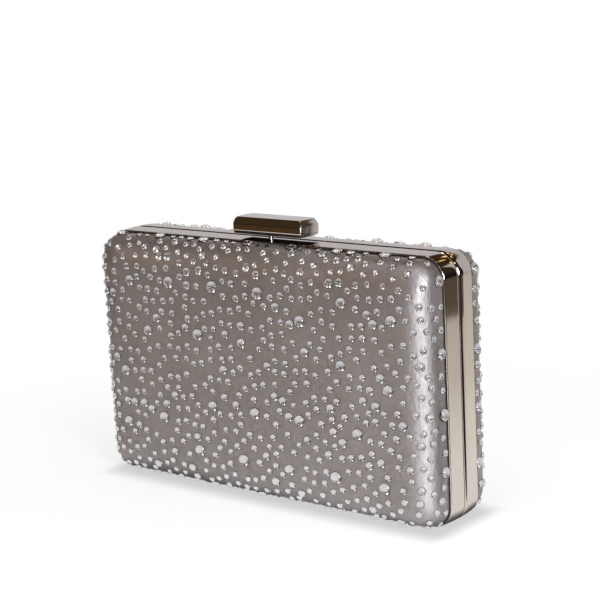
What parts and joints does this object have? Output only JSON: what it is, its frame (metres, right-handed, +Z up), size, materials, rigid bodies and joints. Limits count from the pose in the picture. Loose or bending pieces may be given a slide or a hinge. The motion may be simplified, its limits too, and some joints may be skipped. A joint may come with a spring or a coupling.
{
  "type": "clutch bag",
  "caption": "Hard-shell box clutch bag: padded, fabric-covered halves in polished metal frames, hinged along the bottom and closed by a push-down bar clasp on top.",
  "frame": {"origin": "on the floor under the closed bag, centred on its width and on the parting plane between its halves (bottom centre of the bounding box)", "axes": "+Z up towards the clasp, +X to the right along the width seen from the front, front cover facing -Y"},
  "size_m": [0.18, 0.0494, 0.1193],
  "materials": {
    "polished_nickel": "polished nickel plate",
    "hinge_nickel": "satin nickel plate",
    "silver_satin": "silver-grey satin with clear crystals",
    "padding_foam": "thin foam wadding",
    "shell_plastic": "moulded",
    "lining_satin": "dark lining satin",
    "housing_zinc": "die-cast",
    "steel_fittings": "bright"
  },
  "bodies": {
    "front_half": {"front_frame": "polished_nickel", "front_shell": "shell_plastic", "front_padding": "padding_foam", "front_cover": "silver_satin", "front_lining": "lining_satin", "hinge_knuckle_front_1": "hinge_nickel", "hinge_knuckle_front_2": "hinge_nickel", "hinge_knuckle_front_3": "hinge_nickel", "hinge_knuckle_front_4": "hinge_nickel", "hinge_pin": "steel_fittings", "clasp_housing": "housing_zinc", "housing_screw_left": "steel_fittings", "housing_screw_right": "steel_fittings", "return_spring": "steel_fittings"},
    "rear_half": {"rear_frame": "polished_nickel", "rear_shell": "shell_plastic", "rear_padding": "padding_foam", "rear_cover": "silver_satin", "rear_lining": "lining_satin", "hinge_knuckle_rear_1": "hinge_nickel", "hinge_knuckle_rear_2": "hinge_nickel", "hinge_knuckle_rear_3": "hinge_nickel", "catch_hook": "steel_fittings", "catch_rivet_left": "steel_fittings", "catch_rivet_right": "steel_fittings"},
    "clasp": {"clasp_bar": "polished_nickel", "latch_slider": "steel_fittings"}
  },
  "joints": [
    {"name": "main_hinge", "type": "hinge", "parent": "front_half", "child": "rear_half", "pos_m": [0, 0, 0.0016], "axis": [-1, 0, 0], "range_deg": [0, 90]},
    {"name": "clasp_press", "type": "slide", "parent": "front_half", "child": "clasp", "axis": [0, 0, -1], "range_m": [0, 0.0011], "stiffness_N_per_m": 2500, "springref_m": -0.0012, "deforming": ["return_spring"]}
  ]
}
